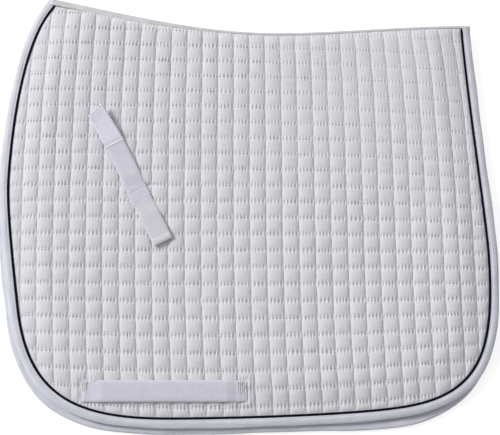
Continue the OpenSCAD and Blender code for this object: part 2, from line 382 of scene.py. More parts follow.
def swayAt(points):
    x, y = ((points[:, i] - middle[i]) / 100 for i in (0, 1))
    wave = np.sin(1.3 * x + 0.8 * y + 0.4) * np.cos(0.9 * y - 0.7 * x) + 0.5 * np.sin(2.3 * x - 1.9 * y)
    return lie["sway"] * smooth(0.5 + 0.4 * wave) * smooth(strapGap(points) / 40)


def middleHeights(points, e, s):
    # height of the middle of each flap, where e is out from the piping and s below the seam
    fall = smooth((e + lie["edgeFall"]) / lie["edgeFall"])
    rise = smooth(1 - s / lie["seamFall"])
    sway = swayAt(points) * (1 - fall) * smooth(s / lie["swayFall"])
    heights = {}
    for side in facing:
        own, seam, edge = lie[side]
        own = own + (edge - own) * fall
        heights[side] = own + (seam - own) * rise + sway
    return heights


puffs = {
    "edge": 11,  # width over which a flap swells in from the binding
    "seam": 10,
    "height": 2.65,  # of a puff over the creases
    "thinnest": 1.5,
    # height, pitch, wander and its wave, then the middle and the width of the strip where the gathers are
    "edgeGather": (0.30, 5.1, 1.5, 31, 0.15, 0.3),
    "seamGather": (0.55, 5.4, 1.2, 23, 1.5, 4.2),
    "gatherFrom": 1.5,
    "share": 0.4,  # of the gathers in the creases
    # what a strap presses down: the depth left under it, how that grows, and over what width
    "basePress": (3.1, 5, 12),
    "girthPress": (3.0, 5, 10),
    "offPress": (1.55, 4, 9),
    "offFrom": 1.5,
    "ripple": (0.75, 4.6, 3, 5),  # beside the girth strap's sewn ends: height, pitch, middle and width
    "underStrap": (2, 4.9),  # within this distance of a strap the puffs stay below this height
}


def gathers(along, across, shape):
    height, pitch, wander, wave, centre, reach = shape
    return height * gatherLine(along, pitch, wander, wave) * hump((across - centre) / reach)


def pressed(gap, shape):
    left, growth, reach = shape
    return left + growth * smooth(gap / reach)


def loftOf(grid, side, face):
    # half thickness from the middle of a flap to one face of it
    points, u, v, s = (grid[key] for key in ("points", "u", "v", "s"))
    puff, across, pucker = puffShare(u, v)
    inward = np.clip((-grid["e"] - pad["pipingRadius"]) / puffs["edge"], 0, 1)
    edge = bulge(inward)
    outer = face == "outer"
    width = tapeReach(points[:, 0]) if side == "near" and outer else pad["spineTapeWidth"]
    seam = bulge(np.clip((s - width) / puffs["seam"], 0, 1))
    atSeam = np.clip((s - width) / puffs["gatherFrom"], 0, 1)
    lift = (pucker * across + gathers(grid["along"], inward, puffs["edgeGather"])) * edge
    lift = lift + gathers(grid["alongSeam"], s - width, puffs["seamGather"]) * atSeam
    loft = pad["creaseDepth"] + puffs["height"] * puff * edge * seam
    loft = loft + lift * (puffs["share"] + (1 - puffs["share"]) * puff)
    if outer and side == "near":
        base, girth = sewnGap(points)
        press = np.minimum(pressed(base, puffs["basePress"]), pressed(girth, puffs["girthPress"]))
        height, pitch, centre, reach = puffs["ripple"]
        ripple = height * np.cos(tau * points[:, 0] / pitch) * hump((girth - centre) / reach)
        loft = np.minimum(loft + np.where(girth > 0, ripple, 0), press)
        loft = loft - tug["depth"] * hump(tugGap(points) / tug["width"])
        near, depth = puffs["underStrap"]
        loft = np.where(strapGap(points) < near, np.minimum(loft, depth), loft)
    elif outer:
        loft = np.minimum(loft, pressed(strapGap(points) - puffs["offFrom"], puffs["offPress"]))
    return np.maximum(loft, puffs["thinnest"])


def flapFaces(grid, side):
    # heights of the outer face and the lining face of a flap
    heights = middleHeights(grid["points"], grid["e"], grid["s"])
    own, out = heights[side], facing[side]
    contact = (heights["near"] + heights["off"]) / 2
    inside = np.clip(grid["e"] - pad["pipingRadius"], 0, 1)
    outer, inner = (loftOf(grid, side, face) for face in ("outer", "inner"))
    outer = outer + (np.minimum(outer, pad["rimDepth"]) - outer) * inside
    inner = inner + (np.minimum(inner, pad["rimDepth"]) - inner) * inside
    inner = np.minimum(inner, out * (own - contact) - pad["floorGap"])
    if side == "off":
        outer = np.minimum(outer, own - 0.05)
    return own + out * outer, own - out * inner


def placed(name, data):
    # a new object in the scene
    piece = bpy.data.objects.new(name, data)
    bpy.context.scene.collection.objects.link(piece)
    return piece


def buildMesh(name, points, quads, others, material, uv=None):
    # one smooth mesh, with its faces turned outwards
    quads = np.asarray(quads, np.int64).reshape(-1, 4)
    fans = [(f[0], f[i], f[i + 1]) for f in others for i in range(1, len(f) - 1)]
    tris = np.vstack([quads[:, [0, 1, 2]], quads[:, [0, 2, 3]], np.array(fans, np.int64)])
    a, b, c = (points[tris[:, i]] for i in range(3))
    if np.einsum("ij,ij->i", a - points[0], np.cross(b - points[0], c - points[0])).sum() < 0:
        quads = quads[:, ::-1]
        others = [f[::-1] for f in others]
    flat = np.concatenate([quads.ravel(), np.concatenate(others)]).astype(np.int32)
    sizes = np.concatenate([np.full(len(quads), 4), [len(f) for f in others]])
    mesh = bpy.data.meshes.new(name)
    mesh.vertices.add(len(points))
    mesh.vertices.foreach_set("co", (points * mm).astype(np.float32).ravel())
    mesh.loops.add(len(flat))
    mesh.loops.foreach_set("vertex_index", flat)
    mesh.polygons.add(len(sizes))
    mesh.polygons.foreach_set("loop_start", np.concatenate([[0], np.cumsum(sizes)[:-1]]).astype(np.int32))
    mesh.update(calc_edges=True)
    if uv is not None:
        layer = mesh.uv_layers.new(name="cloth")
        layer.data.foreach_set("uv", (uv[flat] * mm).astype(np.float32).ravel())
    mesh.validate()
    mesh.polygons.foreach_set("use_smooth", np.ones(len(sizes), bool))
    mesh.materials.append(material)
    return placed(name, mesh)


sheet = {
    "steps": {"fine": (20, 14), "middle": (10, 9), "coarse": (6, 6)},  # across and down a cell
    "columnDraw": 0.06,  # how much closer together the points are beside a sewn column
    "rowDraw": 0.075,  # and beside a sewn row, where the gathers are
    "edgeInset": 3.0,  # from the outer edge of the binding
    "seamInset": 0.3,
    "snap": 0.32,  # points this near the outline are moved onto it, in steps of the grid
    "thickness": 1.0,  # of the cloth
    "waddingGap": 0.15,
    "fill": 0.6,  # how much of a padded sheet is solid
}


def tableAt(u, v):
    # points of the quilting with their places to the edge and to the seam, and both outward directions
    points = quiltPlace(u, v)
    e, along, outward = measureTo(edgeLine, points)
    s, alongSeam, up = measureTo(seamLine, points)
    table = {"points": points, "u": u, "v": v, "e": e, "s": -s, "along": along, "alongSeam": alongSeam}
    return table, outward, up


def quiltGrid(uSteps, vSteps):
    # a grid in the quilting's own directions, clipped to the outline
    us = np.concatenate([k + uSteps for k in range(*quilting["columns"])])
    vs = np.concatenate([r + vSteps for r in range(*quilting["rows"])])
    table, outward, up = tableAt(*(a.ravel() for a in np.meshgrid(us, vs, indexing="ij")))
    points, e, s = table["points"], table["e"], table["s"]
    edgeReach = bindingWidth - sheet["edgeInset"]
    step = sheet["snap"] * quilting["columnPitch"] / len(uSteps)
    move = edgeReach - e
    close = np.abs(move) < step
    points[close] += outward[close] * move[close, None]
    e[close] = edgeReach
    s[close] -= (outward[close] * up[close]).sum(1) * move[close]
    move = s - sheet["seamInset"]
    close = (np.abs(move) < step) & (e < edgeReach - step)
    points[close] += up[close] * move[close, None]
    s[close] = sheet["seamInset"]
    inside = np.minimum(edgeReach - e, s - sheet["seamInset"])
    across = len(vs)
    i, j = np.meshgrid(np.arange(len(us) - 1), np.arange(across - 1), indexing="ij")
    first = (i * across + j).ravel()
    quads = np.stack([first, first + across, first + across + 1, first + 1], 1)
    depth = inside[quads]
    whole = quads[(depth >= 0).all(1) & (depth > 0).any(1)]
    cuts = {}
    others = []
    for quad in quads[(depth > 0).any(1) & (depth < 0).any(1)]:
        face = []
        for a, b in zip(quad, np.roll(quad, -1)):
            if inside[a] >= 0:
                face.append(int(a))
            if inside[a] * inside[b] < 0:
                face.append(cuts.setdefault((min(a, b), max(a, b)), len(inside) + len(cuts)))
        if len(face) > 2:
            others.append(face)
    a, b = np.array(list(cuts)).T
    share = inside[a] / (inside[a] - inside[b])
    for key, field in table.items():
        t = share[:, None] if field.ndim == 2 else share
        table[key] = np.concatenate([field, field[a] * (1 - t) + field[b] * t])
    used = np.unique(np.concatenate([whole.ravel()] + others))
    lookup = np.full(len(table["u"]), -1)
    lookup[used] = np.arange(len(used))
    grid = {key: field[used] for key, field in table.items()}
    grid["quads"] = lookup[whole]
    grid["others"] = [[int(lookup[i]) for i in f] for f in others]
    grid["loop"] = boundaryLoop(grid["quads"], grid["others"], grid["points"])
    return grid


def boundaryLoop(quads, others, points):
    # the rim of an open sheet, in order, from the corner at the wither
    sides = [np.stack([quads[:, i], quads[:, (i + 1) % 4]], 1) for i in range(4)]
    sides = np.vstack(sides + [np.stack([f, np.roll(f, -1)], 1) for f in others])
    code = sides[:, 0] * 10 ** 7 + sides[:, 1]
    twin = sides[:, 1] * 10 ** 7 + sides[:, 0]
    following = {int(a): int(b) for a, b in sides[~np.isin(code, twin)]}
    corner = np.array([frontX, witherY + 60])
    loop = [min(following, key=lambda i: float(((points[i] - corner) ** 2).sum()))]
    while following[loop[-1]] != loop[0] and len(loop) <= len(following):
        loop.append(following[loop[-1]])
    return loop


def zipLoops(a, b, points):
    # triangles between two rims that follow the same line
    runs = [alongLine(points[loop + loop[:1]]) for loop in (a, b)]
    markA, markB = (run / run[-1] for run in runs)
    i = 0
    j = 0
    faces = []
    while i < len(a) or j < len(b):
        if j == len(b) or (i < len(a) and markA[i + 1] <= markB[j + 1]):
            faces.append((a[i % len(a)], b[j % len(b)], a[(i + 1) % len(a)]))
            i += 1
        else:
            faces.append((a[i % len(a)], b[j % len(b)], b[(j + 1) % len(b)]))
            j += 1
    return faces


def shellBetween(name, top, topHeight, low, lowHeight, side, material):
    # a closed sheet between two heights over two grids of the same outline
    count = len(topHeight)
    points = np.vstack([raised(top["points"], side, topHeight), raised(low["points"], side, lowHeight)])
    quads = np.vstack([top["quads"], low["quads"][:, ::-1] + count])
    others = top["others"] + [[i + count for i in f[::-1]] for f in low["others"]]
    rim = zipLoops(top["loop"], [i + count for i in low["loop"]], points[:, :2])
    return buildMesh(name, points, quads, others + rim, material)


def drawnSteps(count, draw):
    # even steps over a cell, drawn closer together at its sewn sides
    t = np.arange(count) / count
    return t - draw * np.sin(tau * t)


def newMaterial(name):
    material = bpy.data.materials.new(name)
    material.use_nodes = True
    return material, material.node_tree, material.node_tree.nodes["Principled BSDF"]


def setInputs(tree, node, inputs):
    # each input is a value, or another node's output that is linked to it
    for key, value in inputs.items():
        if isinstance(value, bpy.types.NodeSocket):
            tree.links.new(value, node.inputs[key])
        else:
            node.inputs[key].default_value = value


def addNode(tree, kind, inputs={}, output=0, **settings):
    # a new node, given back as one of its outputs
    node = tree.nodes.new(kind)
    for key, value in settings.items():
        setattr(node, key, value)
    setInputs(tree, node, inputs)
    return node.outputs[output]


def mathNode(tree, operation, first, second):
    return addNode(tree, "ShaderNodeMath", {0: first, 1: second}, operation=operation)


def clothMaterial(name, colour, shade, weave, grain, roughness, sheen, uvName=None, streak=1, specular=0.25):
    # a woven cloth: colour mottled towards a shade, with crossed threads in the bump
    angles, pitch, distortion, strength, depth = weave
    material, tree, shader = newMaterial(name)
    if uvName:
        place = addNode(tree, "ShaderNodeUVMap", uv_map=uvName)
    else:
        place = addNode(tree, "ShaderNodeTexCoord", output="Object")
    # streak draws the mottle out along the cloth's length; on the binding tape these colour streaks are
    # partly random tone and partly painted light and shade of its wrinkles
    drawn = addNode(tree, "ShaderNodeMapping", {"Vector": place, "Scale": (streak, 1 / streak, 1)})
    mottle = addNode(tree, "ShaderNodeTexNoise", {"Vector": drawn, "Scale": 90, "Detail": 4})
    colours = addNode(tree, "ShaderNodeValToRGB", {"Fac": mottle})
    for element, position, tone in zip(colours.node.color_ramp.elements, (0.3, 0.7), (shade, colour)):
        element.position = position
        element.color = (*tone, 1)
    height = 0.5
    for angle in angles:
        turned = {"Vector": place, "Rotation": (0, 0, math.radians(angle))}
        turned = addNode(tree, "ShaderNodeMapping", turned)
        threads = {"Vector": turned, "Scale": tau / 20 / (pitch * mm), "Distortion": distortion, "Detail": 1}
        threads = addNode(tree, "ShaderNodeTexWave", threads, "Fac", bands_direction="X")
        height = mathNode(tree, "ADD", height, threads)
    fuzz = addNode(tree, "ShaderNodeTexNoise", {"Vector": place, "Scale": grain, "Detail": 3})
    height = mathNode(tree, "ADD", height, fuzz)
    bump = {"Height": height, "Strength": strength, "Distance": depth * mm}
    setInputs(tree, shader, {
        "Base Color": colours,
        "Normal": addNode(tree, "ShaderNodeBump", bump),
        "Roughness": roughness,
        "Sheen Weight": sheen,
        "Sheen Roughness": 0.5,
        "Specular IOR Level": specular,
    })
    return material


# colour and shade, then the weave: angles of the threads, pitch, distortion, strength and depth of the bump;
# then the grain, roughness and sheen, and where it follows the cloth's own lengths, the map and the streaks
cloths = {
    "quiltedCotton": ((0.722, 0.715, 0.761), (0.678, 0.672, 0.715),
                      ((45,), 0.9, 0.6, 0.25, 0.12), 1400, 0.88, 0.15),
    "quiltedLining": ((0.74, 0.735, 0.76), (0.70, 0.695, 0.72),
                      ((0, 90), 1.0, 0.4, 0.2, 0.12), 1400, 0.9, 0.15),
    "wadding": ((0.82, 0.82, 0.83), (0.76, 0.76, 0.77),
                ((), 1.0, 0, 0.8, 0.6), 500, 0.95, 0.3),
    # on the binding tape the mottle is drawn out into lengthwise streaks of lighter and darker colour: partly
    # random tone, partly painted light and shade of the tape's lengthwise wrinkles
    "bindingTape": ((0.725, 0.738, 0.810), (0.600, 0.612, 0.685),
                    ((90,), 0.8, 0.5, 0.3, 0.12), 900, 0.7, 0.2, "cloth", 0.22),
    "pipingCord": ((0.0036, 0.0042, 0.0125), (0.0020, 0.0024, 0.0075),
                   ((35,), 1.3, 0.3, 0.6, 0.25), 1200, 0.85, 0.0, "cloth", 1.0, 0.06),
    "spineTape": ((0.715, 0.712, 0.735), (0.575, 0.572, 0.595),
                  ((90,), 0.8, 0.5, 0.3, 0.12), 900, 0.8, 0.15, "cloth", 0.5),
    "webbing": ((0.690, 0.678, 0.772), (0.648, 0.638, 0.730),
                ((0,), 1.5, 0.2, 0.25, 0.2), 900, 0.75, 0.2, "cloth"),
    "loopTape": ((0.685, 0.678, 0.735), (0.645, 0.638, 0.69),
                 ((), 1.0, 0, 0.6, 0.3), 1500, 0.95, 0.5, "cloth"),
    "hookTape": ((0.83, 0.815, 0.925), (0.79, 0.775, 0.885),
                 ((0,), 1.6, 0.1, 0.3, 0.2), 1200, 0.6, 0.2, "cloth"),
    # a near white for the band at the inner end of the hook tape: a selvage, whose brightness is a painted
    # highlight where the tape's end catches the light
    "selvageHighlight": ((0.93, 0.92, 0.955), (0.87, 0.86, 0.895),
                ((0,), 0.9, 0.2, 0.3, 0.1), 1200, 0.8, 0.2, "cloth"),
    "thread": ((0.80, 0.80, 0.83), (0.74, 0.74, 0.77),
               ((60,), 0.3, 0.1, 0.4, 0.05), 3000, 0.6, 0.2),
}
finishes = {name: clothMaterial(name, *look) for name, look in cloths.items()}
print("materials:", len(finishes))


studio = {
    "elevation": 75.0,
    "distance": 1500.0,
    "lens": 78.3,
    "sensor": 36,
    "clipEnd": 50,
    "targetHeight": 20.0,
    "key": {"place": (-9.0, 4.6, 5.9), "size": 4.0, "power": 1240.0},
    "top": {"place": (0.5, 1.45, 1.15), "size": 0.9, "power": 2.2},
    "ambient": 0.38,
    "floorHalf": 4.0,  # half the side of the floor
    "floorTone": 0.9,
    "floorGlow": 0.60,  # what the camera sees of the floor beside its shadows
}


def seenDirectly(tree):
    # 1 for what the camera sees, directly or in a gloss, and 0 for what only lights the pad
    camera = addNode(tree, "ShaderNodeLightPath", output="Is Camera Ray")
    return mathNode(tree, "MAXIMUM", camera, camera.node.outputs["Is Glossy Ray"])


def setStudio():
    scene = bpy.context.scene
    scene.view_settings.view_transform = "Standard"
    target = Vector((*middle, studio["targetHeight"])) * mm
    rise = math.radians(studio["elevation"])
    camera = placed("camera", bpy.data.cameras.new("camera"))
    camera.data.lens = studio["lens"]
    camera.data.sensor_width = studio["sensor"]
    camera.data.clip_end = studio["clipEnd"]
    camera.location = target + Vector((0, -math.cos(rise), math.sin(rise))) * studio["distance"] * mm
    camera.rotation_euler = (math.pi / 2 - rise, 0, 0)
    scene.camera = camera
    for name in ("key", "top"):
        lamp = bpy.data.lights.new(name, "AREA")
        lamp.shape = "DISK"
        lamp.size = studio[name]["size"]
        lamp.energy = studio[name]["power"]
        light = placed(name, lamp)
        light.location = target + Vector(studio[name]["place"])
        light.rotation_euler = (target - light.location).to_track_quat("-Z", "Y").to_euler()
    scene.world = bpy.data.worlds.new("studio")
    scene.world.use_nodes = True
    tree = scene.world.node_tree
    level = {"Value": seenDirectly(tree), "To Min": studio["ambient"], "To Max": 1.0}
    level = addNode(tree, "ShaderNodeMapRange", level)
    setInputs(tree, tree.nodes["Background"], {"Color": (1, 1, 1, 1), "Strength": level})


def setFloor():
    half = studio["floorHalf"]
    tone = studio["floorTone"]
    mesh = bpy.data.meshes.new("floor")
    corners = [(-half, -half, 0), (half, -half, 0), (half, half, 0), (-half, half, 0)]
    mesh.from_pydata(corners, [], [(0, 1, 2, 3)])
    material, tree, shader = newMaterial("floor")
    setInputs(tree, shader, {
        "Base Color": (tone, tone, tone, 1),
        "Roughness": 0.9,
        "Specular IOR Level": 0.0,
        "Emission Color": (1, 1, 1, 1),
        "Emission Strength": mathNode(tree, "MULTIPLY", seenDirectly(tree), studio["floorGlow"]),
    })
    mesh.materials.append(material)
    placed("floor", mesh)


setStudio()
setFloor()
print("studio set")


fold = {"reach": 108.0}  # of the bend, to each side of the seam


def blendOver(piece, share):
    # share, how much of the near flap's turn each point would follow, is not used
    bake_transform(piece)


def turnWithFold(piece, side):
    # works out how much of the fold's turn each point of a flap would follow, half at the seam and all or
    # none of it further down, and passes that to blendOver
    co = np.empty(len(piece.data.vertices) * 3, np.float32)
    piece.data.vertices.foreach_get("co", co)
    points = co.reshape(-1, 3)[:, :2].astype(float) / mm
    if side == "off":
        points = points + np.array([0, foldRoll])
    blendOver(piece, smooth(0.5 + facing[side] * np.maximum(belowSeam(points), 0) / (2 * fold["reach"])))


def register(piece, node=None, turns=None, rides=None):
    # hides the node a piece stands for, hands the side to turnWithFold, and attaches the piece to the body it
    # rides
    if node:
        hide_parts(node)
    if turns:
        turnWithFold(piece, turns)
    if rides:
        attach(piece, rides)


def makeFlap(side, fine, coarse, lining, wadding):
    cloth = facing[side] * sheet["thickness"]
    gap = facing[side] * (sheet["thickness"] + sheet["waddingGap"])
    outer = flapFaces(fine, side)[0]
    under = flapFaces(coarse, side)[0] - cloth
    inner = flapFaces(lining, side)[1]
    high, low = flapFaces(wadding, side)
    for part, finish, slot, *sheets in (
            ("Cover", "quiltedCotton", "quilted_cotton", fine, outer, coarse, under),
            ("Lining", "quiltedLining", "quilted_lining", lining, inner, lining, inner + cloth),
            ("Wadding", "wadding", "wadding", wadding, high - gap, wadding, low + gap)):
        piece = shellBetween(side + part, *sheets, side, finishes[finish])
        register(piece, side + "_" + part.lower(), turns=side)
        print(side, part.lower() + ":", len(piece.data.polygons), "faces")


grids = {}
for name, (across, down) in sheet["steps"].items():
    grids[name] = quiltGrid(drawnSteps(across, sheet["columnDraw"]), drawnSteps(down, sheet["rowDraw"]))
makeFlap("near", grids["fine"], grids["coarse"], grids["middle"], grids["coarse"])
makeFlap("off", grids["middle"], grids["coarse"], grids["coarse"], grids["coarse"])


def flapMiddle(points, side, e=None):
    # height of the middle of a flap, where e is the distance out from the piping, if that is known
    flat = points.reshape(-1, 2)
    e = measureTo(edgeLine, flat)[0] if e is None else e.ravel()
    return middleHeights(flat, e, np.maximum(belowSeam(flat), 0))[side].reshape(points.shape[:-1])


def lineFrame(line, t):
    # the places at distances t along a line, and the directions to its right
    marks = alongLine(line)
    slope = np.gradient(line, marks, axis=0)
    place, travel = (np.stack([np.interp(t, marks, x) for x in field.T], -1) for field in (line, slope))
    travel = travel / np.linalg.norm(travel, axis=-1, keepdims=True)
    return place, np.stack([travel[..., 1], -travel[..., 0]], -1)


def sweep(name, rings, along, finish):
    # a closed skin over rings of points, capped at both ends; its UV map holds the cloth's own lengths
    count, around = rings.shape[:2]
    i, j = np.meshgrid(np.arange(count - 1), np.arange(around), indexing="ij")
    a = (i * around + j).ravel()
    b = (i * around + (j + 1) % around).ravel()
    quads = np.stack([a, b, b + around, a + around], 1)
    caps = [list(range(around))[::-1], list(range((count - 1) * around, count * around))]
    steps = np.linalg.norm(np.diff(rings, axis=1), axis=2).mean(0)
    across = np.concatenate([[0], np.cumsum(steps)])
    uv = np.stack(np.broadcast_arrays(along[:, None], across[None]), -1).reshape(-1, 2)
    return buildMesh(name, rings.reshape(-1, 3), quads, caps, finishes[finish], uv)


def roundedRun(start, finish, shape):
    # places of the rings along a tape or cord with rounded ends, and how full each ring is
    count = int((finish - start) / shape["ringStep"])
    steps, sizes = np.array(shape["roundedEnd"]).T
    marks = np.concatenate([start - steps, np.linspace(start, finish, count), finish + steps[::-1]])
    return marks, np.concatenate([sizes, np.ones(count), sizes[::-1]])


binding = {
    "ringStep": 2.6,
    "roundedEnd": ((1.3, 0.35), (1.0, 0.7), (0.5, 0.92)),  # distance past the end, share of the section
    "endKnots": (0.0, 3.0, 6.0, 9.0, 12.0, 13.5),  # out from the piping, where the ends meet the seam
    "endReach": 90.0,  # length searched for them
    "shearReach": 60.0,  # length over which the rings turn to lie along the seam
    "sheetGap": 2.05,  # from the middle of the flap to the inside of the tape
    "stitchRow": 3.7,  # out from the piping
    "stitchWidth": 1.2,
    "stitchRise": 2.82,  # above the middle of the flap
    "gather": (4.3, 1.3, 17),  # pitch, wander and its own wave
    "gatherDepth": 0.20,
    "waver": 0.6,
    "wavers": ((0.6, 31), (0.4, 13.3)),  # share and wave
    "waverFrom": 4,
    "waverReach": 9,
    "streak": (0.30, 2.6),  # height, and how close the streaks lie across the tape
    "streakWander": ((1.9, 43), (0.8, 11)),
    "swells": ((0.16, 9.5, 1.4, 37), (0.12, 4.1, 2, 23)),  # height, wave, wander and its own wave
    "puffFrom": 3.2,  # streaks and swells grow from here outwards
    "puffReach": 3,
    # the section: distance out from the piping, and height above the middle of the flap
    "top": [(1.2, 2.25), (1.5, 2.7), (2.1, 3.0), (2.9, 3.02), (3.5, 2.82), (3.9, 2.82), (4.5, 3.1),
            (5.4, 3.25), (6.6, 3.17), (7.8, 2.97), (9.0, 2.66), (10.2, 2.26), (11.2, 1.8), (12.0, 1.28),
            (12.6, 0.82), (12.92, 0.42), (13.0, 0.0)],
    "under": [(12.92, -0.7), (12.6, -1.4), (12.0, -2.0), (11.0, -2.5), (9.6, -2.8), (8.0, -2.95),
              (6.2, -2.95), (4.6, -2.8), (3.7, -2.45), (2.9, -2.75), (2.0, -2.7), (1.5, -2.3)],
    "inside": [(2.0, -1.0), (5.0, -1.0), (8.5, -1.0), (10.6, -0.8), (11.3, 0.0), (10.6, 0.8), (8.5, 1.0),
               (5.0, 1.0), (2.0, 1.0)],
}


def crossings(e, target):
    # distances along the piping line where the line e outside it is at depth target below the seam
    found = []
    for low, high, which in ((0, binding["endReach"], -1), (edgeEnd - binding["endReach"], edgeEnd, 0)):
        t = np.linspace(low, high, 361)
        place, outward = lineFrame(edgeLine, t)
        depth = belowSeam(place + outward * e) - target
        i = np.nonzero(np.sign(depth[:-1]) != np.sign(depth[1:]))[0][which]
        found.append(t[i] + (t[1] - t[0]) * depth[i] / (depth[i] - depth[i + 1]))
    return found


bindingEnds = np.array([[e, *crossings(e, 0.0)] for e in binding["endKnots"]]).T
bindingStart, bindingFinish = bindingEnds[1:, 0]


def bindingMark(e, t):
    # the rings lie straight across the tape, and turn along the seam at both of its ends
    atStart = np.interp(e, bindingEnds[0], bindingEnds[1]) - bindingStart
    atEnd = np.interp(e, bindingEnds[0], bindingEnds[2]) - bindingFinish
    return t + atStart * smooth(1 - (t - bindingStart) / binding["shearReach"]) + atEnd * smooth(
        1 - (bindingFinish - t) / binding["shearReach"])


def bindingGather(t):
    return gatherLine(t, *binding["gather"]) * binding["gatherDepth"]


def makeBinding(side):
    marks, close = roundedRun(bindingStart, bindingFinish, binding)
    t = marks[:, None]
    inside = [(e, h * binding["sheetGap"]) for e, h in binding["inside"]]
    e, rise = np.array(binding["top"] + binding["under"] + inside).T
    groove = hump((e - binding["stitchRow"]) / binding["stitchWidth"]) * (np.abs(rise) > 2.1)
    height, turn = binding["streak"]
    streak = height * np.sin(sum((a * np.sin(t / wave) for a, wave in binding["streakWander"]), turn * e))
    puff = np.clip((e - binding["puffFrom"]) / binding["puffReach"], 0, 1) * (np.abs(rise) > 0.6)
    swell = sum(a * np.sin(t / wave + turn * np.sin(t / slow)) for a, wave, turn, slow in binding["swells"])
    h = rise * close[:, None]
    h = h + np.sign(rise) * (bindingGather(t) * groove + (streak + swell) * puff) * (e > 1.9)
    wavers = binding["waver"] * sum(share * np.sin(t / wave) for share, wave in binding["wavers"])
    e = e + wavers * np.clip((e - binding["waverFrom"]) / binding["waverReach"], 0, 1)
    place, outward = lineFrame(edgeLine, bindingMark(e, t))
    points = place + outward * e[..., None]
    height = np.maximum(flapMiddle(points, side, e) + facing[side] * h, pad["floorGap"])
    piece = sweep(side + "Binding", raised(points, side, height), marks, "bindingTape")
    register(piece, side + "_binding", turns=side)
    print(side, "binding:", len(marks), "rings")


piping = {
    "sides": 12,
    "radius": 1.65,
    "ringStep": 2.6,
    "roundedEnd": ((1.5, 0.4), (1.1, 0.8)),
    "rise": {"near": 2.35, "off": 1.3},  # of its middle above the middle of the flap
    "sink": 1.7,  # where it runs in under the spine tape
    "sinkReach": 9.0,
    "witherEnd": 5.5,  # below the seam
    "rearEnd": 1.4,
}


def makePiping(side):
    out = facing[side]
    start = crossings(0.0, piping["witherEnd"])[0]
    finish = crossings(0.0, piping["rearEnd"])[1]
    marks, width = roundedRun(start, finish, piping)
    width = (width * piping["radius"])[:, None]
    place, outward = lineFrame(edgeLine, marks)
    toEnd = np.minimum(marks - start, finish - marks)
    rise = piping["rise"][side] - piping["sink"] * smooth(1 - toEnd / piping["sinkReach"])
    height = flapMiddle(place, side, np.zeros(len(marks))) + out * rise
    angle = np.linspace(0, tau, piping["sides"], endpoint=False) - np.pi / 2
    points = place[:, None, :] + outward[:, None, :] * (np.cos(angle) * width)[..., None]
    rings = raised(points, side, height[:, None] + out * np.sin(angle) * width)
    register(sweep(side + "Piping", rings, marks, "pipingCord"), side + "_piping", turns=side)


spine = {
    "ringStep": 2.2,
    "tapeThickness": 0.9,
    "innerThickness": 0.7,
    "legGap": 0.15,  # between the tape and the cover
    "innerGap": 0.25,
    "offLeg": 12.0,  # of the tape below the off flap's seam
    "innerLeg": 9.0,
    "gather": (5.4, 1.2, 23),
    "gatherDepth": 0.32,
    "taper": (1.5, 4),  # how far past both ends it would run out to nothing, and over what length it thins
    "edgeRound": 0.8,
    "rearEnd": 1.0,
    "witherEnd": 4.5,
    "inside": -30.0,  # the tape's place in from the piping, as the flap's height follows it
    "lowest": 0.15,
    "nearKnots": (1.0, 0.93, 0.78, 0.6, 0.42, 0.25, 0.08),  # the path's points, as shares of each leg
    "offKnots": (0.05, 0.25, 0.5, 0.75, 0.93, 1.0),
    "innerNearKnots": (1.0, 0.7, 0.45, 0.25),
    "innerOffKnots": (0.3, 0.5, 0.75, 1.0),
    # over the fold: depth below the seam, share of the fold's shift, and height
    "back": [(-0.9, 0.0, 16.1), (-1.5, 0.0, 15.3), (-1.8, 0.02, 14.0), (-1.7, 0.12, 12.2), (-1.5, 0.3, 10.4),
             (-1.3, 0.5, 8.7), (-1.0, 0.7, 7.0), (-0.7, 0.88, 5.4), (-0.2, 0.98, 4.4)],
    "innerTurn": [(1.2, 0.0, 10.75), (0.9, 0.06, 10.5), (0.8, 0.25, 10.25), (0.8, 0.5, 10.0), (0.9, 0.8, 9.8),
                  (1.2, 1.0, 9.65)],
}


def makeTape(name, node, marks, nearRows, turn, offRows, nearHeight, offHeight, thick):
    # a tape swept over the fold, thick to one side of its path, which starts low on the near flap
    one = np.ones(len(marks))
    reach = 2 * fold["reach"]
    depth = np.stack(nearRows + [one * d for d, _, _ in turn] + offRows)
    share = np.array([0.0] * len(nearRows) + [k for _, k, _ in turn] + [1.0] * len(offRows))
    height = np.stack([nearHeight(d) for d in nearRows] + [one * z for _, _, z in turn]
                      + [offHeight(d) for d in offRows])
    weight = np.concatenate([smooth(0.5 + np.stack(nearRows) / reach), np.full((len(turn), len(marks)), 0.5),
                             smooth(0.5 - np.stack(offRows) / reach)])
    place, outward = lineFrame(seamLine, marks)
    sideways = np.gradient(-foldRoll * outward[:, 1] * share[:, None] - depth, axis=0)
    rise = np.gradient(height, axis=0)
    length = np.hypot(sideways, rise)
    offset = np.array([0, -foldRoll]) * share[:, None, None] - outward * depth[..., None]
    outer = np.concatenate([place + offset, height[..., None]], 2)
    inner = outer.copy()
    inner[..., :2] += outward * (rise / length * thick)[..., None]
    inner[..., 2] += -sideways / length * thick
    piece = sweep(name, np.concatenate([outer, inner[::-1]]).transpose(1, 0, 2), marks, "spineTape")
    register(piece, node)
    blendOver(piece, np.concatenate([weight, weight[::-1]]).T.ravel())


